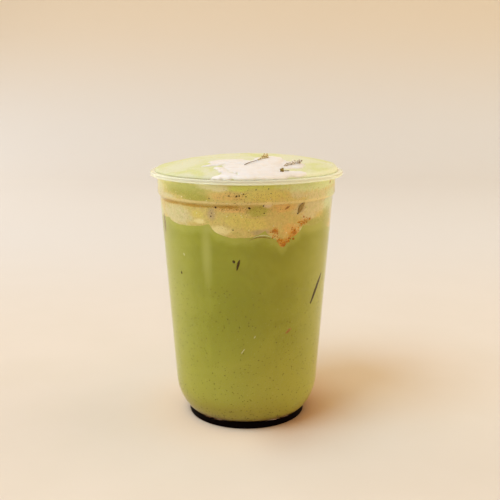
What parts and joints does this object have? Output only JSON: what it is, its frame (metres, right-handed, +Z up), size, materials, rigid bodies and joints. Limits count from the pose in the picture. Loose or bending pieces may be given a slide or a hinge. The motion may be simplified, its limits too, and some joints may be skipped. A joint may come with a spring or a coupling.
{
  "type": "matcha latte",
  "caption": "Iced matcha latte in a clear plastic cup with a rounded base, capped by foam domed over the rim with a pour of white cream and dried flower sprigs.",
  "frame": {"origin": "centre of the foot ring's underside, on the table", "axes": "+Z up along the cup's axis, -Y towards the side that the picture shows"},
  "size_m": [0.09, 0.09, 0.1272],
  "materials": {
    "clear_plastic": "clear, smooth and glossy",
    "green_drink": "opaque olive green liquid with fine specks",
    "pale_foam": "fine soft foam, tan and green where it meets the wall",
    "white_cream": "smooth soft cream",
    "dried_herb": "dry, dull and rough"
  },
  "bodies": {
    "root": {"cup": "clear_plastic", "latte": "green_drink", "foam": "pale_foam", "cream": "white_cream", "sprig_long": "dried_herb", "sprig_pair": "dried_herb", "sprig_bud": "dried_herb"}
  },
  "joints": []
}
